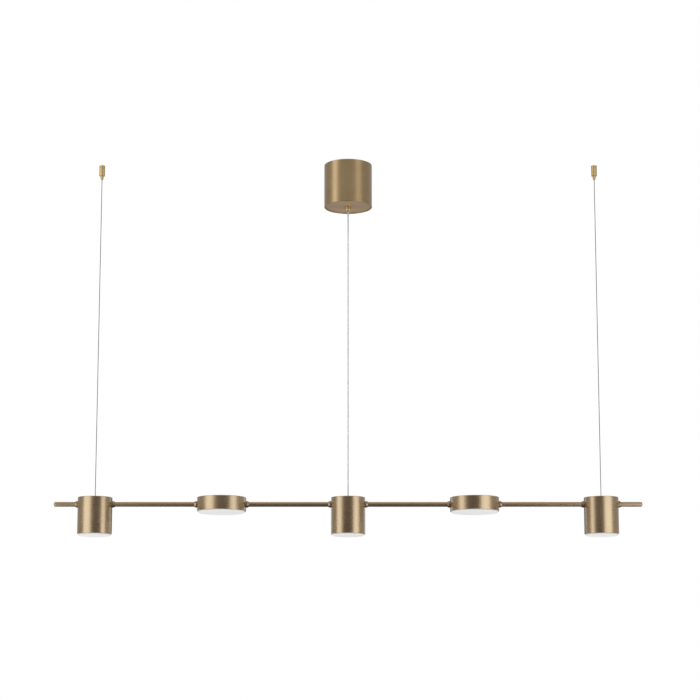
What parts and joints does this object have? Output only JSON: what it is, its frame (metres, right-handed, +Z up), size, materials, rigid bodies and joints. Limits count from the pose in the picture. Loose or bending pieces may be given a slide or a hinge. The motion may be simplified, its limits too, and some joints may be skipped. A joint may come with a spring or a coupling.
{
  "type": "linear pendant light",
  "caption": "Linear pendant light: a slim bar carrying alternating cylinder and disc lamp heads, hung on steel wires with a feed cable from a round canopy.",
  "frame": {"origin": "ceiling plane, at the middle of the ceiling bracket under the canopy", "axes": "+X along the bar, +Y away from the picture's camera, +Z up; the light hangs below the origin"},
  "size_m": [1.2, 0.1, 0.7785],
  "materials": {
    "satin_brass": "satin antique brass, brushed round the axis, lacquered",
    "plated_alloy": "aluminium, brushed round the axis and plated to match antique brass",
    "plated_steel": "steel, brushed and plated to match antique brass",
    "bright_brass": "bright turned brass",
    "zinc_steel": "bright zinc-plated steel",
    "wire_steel": "stranded stainless steel",
    "bare_aluminium": "bare rolled aluminium",
    "opal_acrylic": "opal acrylic, satin",
    "white_plastic": "white moulded nylon or polycarbonate",
    "cable_sheath": "clear sheath over tinned cores",
    "black_nylon": "black nylon",
    "circuit_board": "white-masked circuit board",
    "driver_board": "green circuit board with its parts"
  },
  "bodies": {
    "ceiling": {"ceiling_bracket": "zinc_steel", "earth_screw": "bright_brass", "terminal_block": "white_plastic", "canopy_tube": "plated_steel", "canopy_base_plate": "plated_steel", "canopy_side_screws": "satin_brass", "driver_case": "white_plastic", "driver_lid": "white_plastic", "driver_board": "driver_board", "driver_input_lead": "white_plastic", "feed_cable_tail": "cable_sheath", "grip_nipple": "bright_brass", "grip_lock_nut": "bright_brass", "grip_body": "satin_brass", "grip_sleeve": "white_plastic", "grip_grub_screw": "zinc_steel", "anchor_bases": "bright_brass", "left_gripper_body": "bright_brass", "right_gripper_body": "bright_brass", "left_release_spring": "wire_steel", "right_release_spring": "wire_steel", "wire_tails": "wire_steel"},
    "left_release": {"left_release_nose": "bright_brass", "left_grip_balls": "wire_steel"},
    "right_release": {"right_release_nose": "bright_brass", "right_grip_balls": "wire_steel"},
    "wire_tops": {"wire_top_balls": "wire_steel"},
    "left_wire": {"left_wire": "wire_steel"},
    "right_wire": {"right_wire": "wire_steel"},
    "cable_top": {"cable_swivel_ball": "cable_sheath"},
    "feed_cable": {"feed_cable": "cable_sheath"},
    "bar": {"wire_bushes": "satin_brass", "cable_gland": "cable_sheath", "end_rods": "plated_steel", "link_rods": "plated_steel", "rod_collars": "satin_brass", "swivel_washers": "black_nylon", "cylinder_cross_tubes": "zinc_steel", "cross_tube_nuts": "bright_brass", "disc_axles": "zinc_steel", "bar_harness": "white_plastic", "left_cylinder_housing": "plated_alloy", "centre_cylinder_housing": "plated_alloy", "right_cylinder_housing": "plated_alloy", "left_cylinder_diffuser": "opal_acrylic", "centre_cylinder_diffuser": "opal_acrylic", "right_cylinder_diffuser": "opal_acrylic", "cylinder_heat_sinks": "bare_aluminium", "cylinder_led_boards": "circuit_board", "head_board_screws": "zinc_steel"},
    "left_disc": {"left_disc_housing": "plated_alloy", "left_disc_carrier": "bare_aluminium", "left_disc_led_board": "circuit_board", "left_disc_screws": "zinc_steel", "left_disc_diffuser": "opal_acrylic"},
    "right_disc": {"right_disc_housing": "plated_alloy", "right_disc_carrier": "bare_aluminium", "right_disc_led_board": "circuit_board", "right_disc_screws": "zinc_steel", "right_disc_diffuser": "opal_acrylic"}
  },
  "joints": [
    {"name": "left_release", "type": "slide", "parent": "ceiling", "child": "left_release", "axis": [0, 0, 1], "range_m": [0, 0.002], "stiffness_N_per_m": 1500, "springref_m": -0.002, "deforming": ["left_release_spring"]},
    {"name": "right_release", "type": "slide", "parent": "ceiling", "child": "right_release", "axis": [0, 0, 1], "range_m": [0, 0.002], "stiffness_N_per_m": 1500, "springref_m": -0.002, "deforming": ["right_release_spring"]},
    {"name": "bar_swing", "type": "hinge", "parent": "ceiling", "child": "wire_tops", "pos_m": [0, 0, -0.0275], "axis": [1, 0, 0], "range_deg": [-8, 8]},
    {"name": "bar_sway", "type": "hinge", "parent": "wire_tops", "child": "left_wire", "pos_m": [-0.516, 0, -0.0275], "axis": [0, 1, 0], "range_deg": [-8, 8]},
    {"name": "right_wire_sway", "type": "hinge", "parent": "wire_tops", "child": "right_wire", "pos_m": [0.516, 0, -0.0275], "axis": [0, 1, 0], "range_deg": [-8, 8]},
    {"name": "bar_level", "type": "hinge", "parent": "left_wire", "child": "bar", "pos_m": [-0.516, 0, -0.7065], "axis": [0, 1, 0], "range_deg": [-8, 8]},
    {"name": "cable_swing", "type": "hinge", "parent": "ceiling", "child": "cable_top", "pos_m": [0, 0, -0.0958], "axis": [1, 0, 0], "range_deg": [-9, 9]},
    {"name": "cable_sway", "type": "hinge", "parent": "cable_top", "child": "feed_cable", "pos_m": [0, 0, -0.0958], "axis": [0, 1, 0], "range_deg": [-9, 9]},
    {"name": "left_disc_tilt", "type": "hinge", "parent": "bar", "child": "left_disc", "pos_m": [-0.258, 0, -0.714], "axis": [1, 0, 0], "range_deg": [-90, 90]},
    {"name": "right_disc_tilt", "type": "hinge", "parent": "bar", "child": "right_disc", "pos_m": [0.258, 0, -0.714], "axis": [1, 0, 0], "range_deg": [-90, 90]}
  ],
  "couplings": [
    {"joint": "right_wire_sway", "follows": "bar_sway", "ratio": 1},
    {"joint": "bar_level", "follows": "bar_sway", "ratio": -1},
    {"joint": "cable_swing", "follows": "bar_swing", "ratio": 1.1127},
    {"joint": "cable_sway", "follows": "bar_sway", "ratio": 1.1205}
  ]
}
